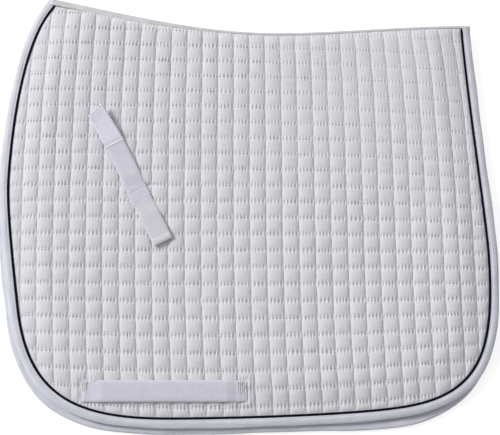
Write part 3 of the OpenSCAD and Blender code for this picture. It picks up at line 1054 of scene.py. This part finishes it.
def makeSpineTapes():
    marks = np.arange(pad["runOn"] + spine["rearEnd"], seamEnd - pad["runOn"] + spine["witherEnd"],
                      spine["ringStep"])
    place, _ = lineFrame(seamLine, marks)
    one = np.ones(len(marks))
    width = tapeReach(place[:, 0])
    cut, reach = spine["taper"]
    taper = smooth((np.minimum(marks - marks[0], marks[-1] - marks) + cut) / reach)
    gather = spine["gatherDepth"] * gatherLine(marks, *spine["gather"])
    thick = spine["tapeThickness"]
    crease = pad["creaseDepth"]

    def flapAt(side, d):
        return middleHeights(place, one * spine["inside"], d)[side]

    def nearOver(d):
        edge = smooth((width - d) / spine["edgeRound"])
        rise = thick * (0.5 + 0.5 * edge)
        return flapAt("near", d) + crease + spine["legGap"] + rise + gather * (d / width) * (1 - edge * 0.4)

    def offUnder(d):
        return np.maximum(flapAt("off", d) - crease - spine["legGap"] - thick, spine["lowest"])

    def nearUnder(d):
        return flapAt("near", d) - crease - spine["innerGap"]

    def offOver(d):
        return flapAt("off", d) + crease + spine["innerGap"]

    def legRows(leg, knots):
        return [one * (leg * k) for k in spine[knots]]

    nearRows = [width * k for k in spine["nearKnots"]]
    offRows = legRows(spine["offLeg"], "offKnots")
    makeTape("spineTape", "spine_tape", marks, nearRows, spine["back"], offRows, nearOver, offUnder,
             thick * taper)
    nearRows, offRows = (legRows(spine["innerLeg"], knots) for knots in ("innerNearKnots", "innerOffKnots"))
    makeTape("spineInnerTape", "spine_inner_tape", marks, nearRows, spine["innerTurn"], offRows, nearUnder,
             offOver, spine["innerThickness"] * taper)
    return marks, width


webbing = {
    "thickness": 1.12,
    "ribPitch": 1.6,
    "ribHeight": 0.09,
    "ringStep": 0.4,
    "across": 11,  # points across a strap
    "edgeRound": 0.25,  # how far the selvage stands out
    "pressed": {"near": 3.25, "off": 1.65},  # its underside off the middle of the flap, where sewn down
    "rest": {"near": 5.2, "off": 1.65},  # the underside of the arms, on the puffs
    "thinEdge": 0.5,  # how much thinner a strap is along its edges
    "follow": 0.6,  # how much a strap follows the flap across its width
    "girthBow": 4.95,  # its underside where it bows off the puffs
    "girthRampFront": 20.0,
    "girthRampRear": 15.0,
    "girthTaper": (4.5, 11),  # lengths over which it thins at its front and rear end
    "girthEnd": 0.35,  # share of its thickness at the very end
    "rearSewn": 13.0,
    "rearNarrow": 1.6,
    "creases": (0.9, 7.3),  # on both sides of the turned under end
    "creaseDepth": 0.15,
    "creaseWidth": 0.75,
    "crumple": 0.5,
    "billetRamp": 24.0,
    "lift": {"upper": (6.4, 45.0), "lower": (1.0, 34.0)},  # of an arm's tip, and where it starts
    "liftPower": 1.6,
    "seamDepth": 0.25,  # of the sewn lines across the base
    "seamInset": 3.2,
    "seamWidth": 0.8,
    "hem": 8.0,
    "hemThickness": 2.5,
    "hemCrease": 0.3,
    "hemTaper": (0.8, 3.2),  # how much it thins at the tip, and over what length
    "hookLength": 61.0,
    "hookThickness": 0.9,
    "hookGap": 0.1,
    "hookInset": 0.4,
    "hookTaper": (9.0, 1.2),  # lengths over which it thins at its inner and outer end
    "bendLength": 14.0,  # over which an arm bends at its root
    "bendHeight": {"near": 21.3, "off": 2.2},
    "bow": [(-80.0, 0.0), (0.0, 1.2), (45.0, 2.9), (85.0, 3.4), (120.0, 2.0), (145.0, 0.5)],
    "short": (7.3, 0.5),  # the tip is cut askew: how much shorter it is on its left and its right
    "skewReach": 26.0,
    "tip": (13.0, 70, 50),  # half its width there, and where and over what length it narrows
    "tackRows": (1.2, 3.9, 6.6, 208.0, 210.6, 213.2, 215.8, 218.6),  # from the strap's front end
    "tackInset": {"front": 0.8, "rear": 2.2},
    "tackPitch": 1.12,
    "tackSize": (2.9, 1.15, 0.3),
    "tackLift": 0.09,
    "tackWaver": 0.35,
    "tackSlant": 0.12,
    # the white band at the hook tape's inner end, whose brightness is a painted highlight: its length, inset
    # and heights
    "selvageHighlight": 2.4,
    "selvageHighlightInset": 0.2,
    "selvageHighlightHeights": (-0.3, 0.14),  # of its underside and top over the hook tape
}
acrossStrap = np.linspace(-1, 1, webbing["across"])


def ribs(marks):
    return webbing["ribHeight"] * np.cos(tau * marks / webbing["ribPitch"])[:, None]


def thinned(side):
    return webbing["thinEdge"] * smooth((np.abs(acrossStrap) - 0.75) / 0.25) * (side == "near")


def strapPoints(place, travel, halfWidth, skew):
    # rows of points straight across a strap; skew moves them along it
    right = np.stack([travel[:, 1], -travel[:, 0]], 1)[:, None]
    share = acrossStrap[:, None] * np.reshape(halfWidth, (-1, 1, 1))
    moved = travel[:, None] * np.reshape(skew, (len(place), -1, 1))
    return place[:, None] + right * share + moved, right


def strapPiece(name, side, line, low, high, finish):
    # a flat strap; heights are above the middle of the flap for the near side, and below it for the off side
    place, travel, halfWidth, skew = line
    points, _ = strapPoints(*line)
    height = flapMiddle(points, side)
    height = height * webbing["follow"] + height[:, [webbing["across"] // 2]] * (1 - webbing["follow"])
    out = facing[side]
    bottom, top = (np.maximum(height + out * h, pad["floorGap"]) for h in (low, high)[::out])
    place = laid(place, side)
    flat, right = strapPoints(place, travel, halfWidth, skew)
    upper, lower = (np.concatenate([flat, z[..., None]], 2) for z in (top, bottom))
    between = (top + bottom)[..., None] / 2
    edges = [np.concatenate([flat[:, [edge]] + right * bow, between[:, [edge]]], 2)
             for edge, bow in ((-1, webbing["edgeRound"]), (0, -webbing["edgeRound"]))]
    rings = np.concatenate([upper, edges[0], lower[:, ::-1], edges[1]], 1)
    return sweep(side + name, rings, alongLine(place), finish)


def girthThickness(marks):
    front, rear = webbing["girthTaper"]
    fromEnd = np.minimum(marks / front, (girthLength - marks) / rear)
    return webbing["thickness"] * (webbing["girthEnd"] + (1 - webbing["girthEnd"]) * smooth(fromEnd))


def makeGirth(side):
    marks = np.arange(0, girthLength + 0.1, webbing["ringStep"])
    place = np.stack([girthLow[0] + marks, np.full(len(marks), girthMiddle[1])], 1)
    travel = np.tile([1.0, 0.0], (len(marks), 1))
    sewn = straps["girthSewn"]
    t = marks[:, None]
    fromEnd = np.minimum(t, girthLength - t)
    crumple = webbing["crumple"] * np.sin(2.3 * acrossStrap + t / 3) * (t > girthLength / 2)
    creases = sum(hump((fromEnd + crumple - at) / webbing["creaseWidth"]) for at in webbing["creases"])
    low = np.full((len(marks), 1), webbing["pressed"][side])
    if side == "near":
        bow = smooth((t - sewn) / webbing["girthRampFront"])
        bow = bow * smooth((girthLength - t - webbing["rearSewn"]) / webbing["girthRampRear"])
        low = low + (webbing["girthBow"] - webbing["pressed"][side]) * bow
    high = low + girthThickness(t) + ribs(marks) - webbing["creaseDepth"] * creases - thinned(side)
    width = girthWidth / 2 - webbing["rearNarrow"] * smooth((marks - girthLength + sewn + 1) / sewn)
    piece = strapPiece("GirthStrap", side, (place, travel, width, np.zeros(len(marks))), low, high, "webbing")
    register(piece, side + "_girth_strap", turns=side)


def billetLine(start, finish):
    # marks from the sewn base outwards, the places on the flap and the direction of travel
    step = webbing["ringStep"]
    marks = np.arange(0, abs(finish - start) + step / 2, step)
    along = start + math.copysign(1, finish - start) * marks
    knots = np.array(webbing["bow"])
    bow = sum(np.interp(along + d, knots[:, 0], knots[:, 1]) for d in (-16, -8, 0, 8, 16)) / 5
    place = billetAt + billetUp * along[:, None] + billetAcross * bow[:, None]
    travel = np.gradient(place, axis=0)
    return marks, place, travel / np.linalg.norm(travel, axis=1, keepdims=True)


def bendAtRoot(piece, side, start):
    # bakes an arm's transform; where its bend beside the sewn base would start is worked out but not used
    first = laid(billetAt, side) + billetUp * start
    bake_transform(piece)


def makeBillet(side):
    # the sewn base and both arms; returns the line of the upper arm and its underside
    width = billetHalf
    pressed = webbing["pressed"][side]
    marks, place, travel = billetLine(-baseHalf, baseHalf)
    low = np.full((len(marks), 1), pressed)
    fromEnds = np.minimum(marks, marks[-1] - marks)
    seams = hump((fromEnds - webbing["seamInset"]) / webbing["seamWidth"])[:, None]
    high = low + webbing["thickness"] + ribs(marks) - webbing["seamDepth"] * seams
    piece = strapPiece("BilletBase", side, (place, travel, width, np.zeros(len(marks))), low, high, "webbing")
    register(piece, side + "_billet_base", turns=side)
    made = {}
    for arm, start, finish in (("upper", baseHalf, straps["billetUp"]),
                               ("lower", -baseHalf, -straps["billetDown"])):
        marks, place, travel = billetLine(start, finish)
        toTip = (marks[-1] - marks)[:, None]
        rise = (webbing["rest"][side] - pressed) * smooth(marks / webbing["billetRamp"])
        if side == "near":
            lift, liftFrom = webbing["lift"][arm]
            lifted = np.clip((marks - liftFrom) / (marks[-1] - liftFrom), 0, 1)
            rise = rise + lift * lifted ** webbing["liftPower"]
        low = pressed + rise[:, None]
        thick = webbing["thickness"]
        if arm == "upper":
            left, right = webbing["short"]
            short = left * (1 - acrossStrap) / 2 + right * (1 + acrossStrap) / 2
            skew = -short * smooth(1 - toTip / webbing["skewReach"])
            tip, narrowFrom, reach = webbing["tip"]
            wide = width + (tip - width) * smooth((marks - narrowFrom) / reach)
            finish = "webbing"
        else:
            fromHem = (marks[-1] - webbing["hem"] - marks)[:, None]
            thick = thick + (webbing["hemThickness"] - webbing["thickness"]) * smooth(0.5 - fromHem / 1.2)
            thinner, reach = webbing["hemTaper"]
            thick = thick - webbing["hemCrease"] * hump((fromHem + 1.6) / 0.7)
            thick = thick - thinner * smooth(1 - toTip / reach)
            skew = np.zeros(len(marks))
            wide = width
            finish = "loopTape"
        body = side + "_billet_" + arm
        high = low + thick + ribs(marks) - thinned(side)
        line = (place, travel, wide, skew)
        piece = strapPiece("Billet" + arm.capitalize(), side, line, low, high, finish)
        register(piece, body + "_arm")
        bendAtRoot(piece, side, start)
        made[arm] = (marks, line, low)
    return made["upper"]


def makeHookTape(side, marks, line, low):
    # the hook tape on the upper arm, with a white selvage band at its inner end, whose bright colour is a
    # painted highlight
    def cut(part, inset):
        place, travel, wide, skew = (field[part] for field in line)
        return place, travel, wide - inset, skew

    part = marks > marks[-1] - webbing["hookLength"]
    fromStart = (marks[part] - marks[part][0])[:, None]
    fromEnd = (marks[-1] - marks[part])[:, None]
    inner, outer = webbing["hookTaper"]
    edge = np.minimum(smooth(fromStart / inner), 0.5 + 0.5 * smooth(fromEnd / outer))
    under = low[part] + webbing["thickness"] + webbing["hookGap"]
    over = under + webbing["hookThickness"] * (0.1 + 0.9 * edge)
    hooks = cut(part, webbing["hookInset"])
    body = side + "_billet_upper"
    register(strapPiece("HookTape", side, hooks, under, over, "hookTape"),
             side + "_billet_hook_tape", rides=body)
    # a thin white band across the inner end of the hook tape: a selvage, coloured brighter than the tape as a
    # painted highlight
    rim = part & (marks < marks[-1] - webbing["hookLength"] + webbing["selvageHighlight"])
    bottom, top = (over[:rim.sum()] + height for height in webbing["selvageHighlightHeights"])
    piece = strapPiece("HookSelvageHighlight", side, cut(rim, webbing["selvageHighlightInset"]), bottom, top, "selvageHighlight")
    register(piece, rides=body)
    return strapPoints(*hooks)[0], hooks[1], over


def sewnTree():
    # lays a small rounded shape along the stored direction at every point
    tree = bpy.data.node_groups.new("sewnRow", "GeometryNodeTree")
    for name, kind in (("Geometry", "Geometry"), ("Length", "Float"), ("Width", "Float"), ("Height", "Float"),
                       ("Material", "Material")):
        tree.interface.new_socket(name, in_out="INPUT", socket_type="NodeSocket" + kind)
    tree.interface.new_socket("Geometry", in_out="OUTPUT", socket_type="NodeSocketGeometry")
    given = tree.nodes.new("NodeGroupInput").outputs
    bead = addNode(tree, "GeometryNodeMeshIcoSphere", {"Radius": 0.5, "Subdivisions": 1})
    size = {"X": given["Length"], "Y": given["Width"], "Z": given["Height"]}
    along, lift = (addNode(tree, "GeometryNodeInputNamedAttribute", {"Name": name}, data_type="FLOAT_VECTOR")
                   for name in ("along", "lift"))
    turn = {"Primary Axis": along, "Secondary Axis": lift}
    made = addNode(tree, "GeometryNodeInstanceOnPoints", {
        "Points": given["Geometry"],
        "Instance": bead,
        "Rotation": addNode(tree, "FunctionNodeAxesToRotation", turn, primary_axis="X", secondary_axis="Z"),
        "Scale": addNode(tree, "ShaderNodeCombineXYZ", size),
    })
    for kind in ("RealizeInstances", "SetShadeSmooth"):
        made = addNode(tree, "GeometryNode" + kind, {"Geometry": made})
    made = addNode(tree, "GeometryNodeSetMaterial", {"Geometry": made, "Material": given["Material"]})
    setInputs(tree, tree.nodes.new("NodeGroupOutput"), {"Geometry": made})
    return tree


thread = {
    "pitch": 4.2,
    "size": (3.1, 0.8, 0.6),  # length, width and height of a stitch
    "flat": (3.0, 0.6, 0.35),
    "half": 0.8,  # of the path it follows
    "rise": 0.05,  # above the cover
    "quiltPitch": 4.6,
    "clear": {"edge": 3, "tape": 2, "strap": 1},  # how far the quilting stitches keep from these
    "boxPitch": 3.4,
    "boxInset": (2.4, 2),  # of a sewn square, across the strap and along it
    "tapeInset": {"near": 1.5, "off": 1.7},
    "hookPitch": 1.9,
    "hookSize": (0.8, 0.7, 0.6),
    "hookStitch": (2.4, 0.9, 0.8),
    "hookStitchPitch": 2.6,
    "hookMargin": 0.09,  # share of the width left free beside the hooks
    "hookStagger": 0.4,  # of every other row, in steps
    "lowest": 0.1,
}
sewn = sewnTree()


def scatter(name, rows, size, finish="thread"):
    # rows hold the places of what is laid down, its directions, and whether it faces up or down
    spread = [[np.broadcast_to(field, row[0].shape) for field in (*row[:2], (0, 0, row[2]))] for row in rows]
    places, alongs, lifts = (np.vstack(fields) for fields in zip(*spread))
    places[:, 2] = np.maximum(places[:, 2], size[2] / 2 + 0.02)
    mesh = bpy.data.meshes.new(name + "Places")
    mesh.vertices.add(len(places))
    mesh.vertices.foreach_set("co", (places * mm).astype(np.float32).ravel())
    for key, field in (("along", alongs), ("lift", lifts)):
        mesh.attributes.new(key, "FLOAT_VECTOR", "POINT")
        mesh.attributes[key].data.foreach_set("vector", field.astype(np.float32).ravel())
    maker = placed(name + "Maker", mesh)
    modifier = maker.modifiers.new("sewnRow", "NODES")
    modifier.node_group = sewn
    inputs = {item.name: item.identifier for item in sewn.interface.items_tree if item.in_out == "INPUT"}
    for key, value in zip(("Length", "Width", "Height"), size):
        modifier[inputs[key]] = value * mm
    modifier[inputs["Material"]] = finishes[finish]
    made = bpy.data.meshes.new_from_object(maker.evaluated_get(bpy.context.evaluated_depsgraph_get()))
    bpy.data.objects.remove(maker)
    made.name = name
    for key in ("along", "lift"):
        if key in made.attributes:
            made.attributes.remove(made.attributes[key])
    return placed(name, made)


def evenRow(points, pitch, out):
    # stitches at even steps along a path
    run = alongLine(points)
    marks = np.arange(pitch / 2, run[-1], pitch)
    at = [np.stack([np.interp(marks + d, run, points[:, i]) for i in range(3)], 1)
          for d in (-thread["half"], 0, thread["half"])]
    return at[1], at[2] - at[0], out


def bindingRow(side, face):
    # the row that sews the binding on, seen on one face of the flap
    out = face * facing[side]
    t = np.arange(bindingStart + 2, bindingFinish - 2, 1.0)
    e = np.full(len(t), binding["stitchRow"])
    place, outward = lineFrame(edgeLine, bindingMark(e, t))
    points = place + outward * e[:, None]
    height = flapMiddle(points, side, e) + out * (binding["stitchRise"] + bindingGather(t))
    return evenRow(raised(points, side, height), thread["pitch"], out)


def quiltRow(side):
    # stitches down the columns and along the rows of the quilting, on the outer face
    u, v, along = [], [], []
    for own, other, lines, steps in (("column", "row", u, v), ("row", "column", v, u)):
        places = np.arange(*quilting[other + "s"], thread["quiltPitch"] / quilting[other + "Pitch"])
        grid = np.meshgrid(np.arange(*quilting[own + "s"]), places, indexing="ij")
        lines.append(grid[0].ravel())
        steps.append(grid[1].ravel())
        along.append(np.full(grid[0].size, own == "row"))
    u, v, along = (np.concatenate(parts) for parts in (u, v, along))
    table, _, _ = tableAt(u, v)
    points = table["points"]
    ahead = quiltPlace(u + 0.03 * along, v + 0.03 * ~along) - points
    width = tapeReach(points[:, 0]) if side == "near" else pad["spineTapeWidth"]
    clear = thread["clear"]
    keep = (table["e"] < -clear["edge"]) & (table["s"] > width + clear["tape"])
    keep = keep & (strapGap(points) > clear["strap"])
    table = {key: field[keep] for key, field in table.items()}
    height = flapFaces(table, side)[0] + facing[side] * thread["rise"]
    travel = np.column_stack([ahead[keep], np.zeros(keep.sum())])
    return raised(table["points"], side, height), travel, facing[side]


def boxRows(side, lift):
    # a sewn square with its diagonals, on the base of the billet strap
    a = billetHalf - thread["boxInset"][0]
    b = baseHalf - thread["boxInset"][1]
    corners = np.array([(-a, -b), (a, -b), (a, b), (-a, b), (-a, -b), (a, b)])
    k = np.linspace(0, 1, 12)[:, None]
    rows = []
    for first, last in zip(corners[:-1], corners[1:]):
        line = first * (1 - k) + last * k
        points = billetAt + line[:, :1] * billetAcross + line[:, 1:] * billetUp
        height = flapMiddle(points, side) + facing[side] * lift
        rows.append(evenRow(raised(points, side, height), thread["boxPitch"], facing[side]))
    return rows


def tackRow(side, x):
    # one row across the girth strap
    half = girthWidth / 2 - webbing["tackInset"]["front" if x < girthLength / 2 else "rear"]
    y = np.arange(-half, half, webbing["tackPitch"])
    points = np.stack([girthLow[0] + x + webbing["tackWaver"] * np.sin(5.1 * y + x), girthMiddle[1] + y], 1)
    lift = webbing["pressed"][side] + girthThickness(x) + webbing["tackLift"]
    places = raised(points, side, flapMiddle(points, side) + facing[side] * lift)
    return places, (1, webbing["tackSlant"], 0), facing[side]


def makeStitching(side):
    top = webbing["pressed"][side] + webbing["thickness"] + 0.03
    girth = [tackRow(side, x) for x in webbing["tackRows"]]
    edge = [bindingRow(side, face) for face in (1, -1)]
    for name, node, rows, size in (
            ("GirthStitches", side + "_girth_stitching", girth, webbing["tackSize"]),
            ("BindingStitches", side + "_binding_stitching", edge, thread["size"]),
            ("BilletStitches", side + "_billet_stitching", boxRows(side, top), thread["flat"]),
            ("QuiltStitches", None, [quiltRow(side)], thread["size"])):
        register(scatter(side + name, rows, size), node, turns=side)


def makeTapeStitches(marks, width):
    # the rows that hold the spine tape down on both flaps
    place, outward = lineFrame(seamLine, marks)
    one = np.ones(len(marks))
    lift = pad["creaseDepth"] + spine["legGap"] + spine["tapeThickness"] + 0.1
    for side, leg in (("near", width), ("off", one * spine["offLeg"])):
        depth = leg - thread["tapeInset"][side]
        points = place - outward * depth[:, None]
        height = middleHeights(points, one * spine["inside"], depth)[side] + facing[side] * lift
        path = raised(points, side, np.maximum(height, thread["lowest"]))
        row = evenRow(path, thread["pitch"], facing[side])
        register(scatter(side + "TapeStitches", [row], thread["size"]), turns=side)


def makeHooks(side, place, travel, over):
    # the hooks of the fastening tape, and the stitches around it
    def onTape(points, lift):
        height = flapMiddle(points, side) + facing[side] * lift
        return raised(points, side, np.maximum(height, thread["lowest"]))

    step = max(1, round(thread["hookPitch"] / webbing["ringStep"]))
    count = int(straps["billetWidth"] / thread["hookPitch"]) - 2
    rows = []
    for number, i in enumerate(range(3 * step // 2, len(place) - step, step)):
        share = np.linspace(thread["hookMargin"], 1 - thread["hookMargin"], count)
        share = share + (number % 2 - 0.5) * thread["hookStagger"] / count
        points = place[i, 0] + (place[i, -1] - place[i, 0]) * share[:, None]
        rows.append((onTape(points, over[i, 0]), (*travel[i], 0), facing[side]))
    body = side + "_billet_upper"
    register(scatter(side + "Hooks", rows, thread["hookSize"], "hookTape"), rides=body)
    left, right = place[3:-3, 0], place[3:-3, -1]
    paths = [onTape(place[-4, 1:-1], over[-4, 0]), onTape(left * 0.95 + right * 0.05, over[3:-3, 0]),
             onTape(left * 0.05 + right * 0.95, over[3:-3, 0])]
    rows = [evenRow(path, thread["hookStitchPitch"], facing[side]) for path in paths]
    register(scatter(side + "HookStitches", rows, thread["hookStitch"]), rides=body)


for side in facing:
    makeBinding(side)
    makePiping(side)
tapeMarks, tapeWidth = makeSpineTapes()
for side in facing:
    makeGirth(side)
    upperArm = makeBillet(side)
    hookTape = makeHookTape(side, *upperArm)
    makeStitching(side)
    makeHooks(side, *hookTape)
    print(side, "straps and stitching made")
makeTapeStitches(tapeMarks, tapeWidth)
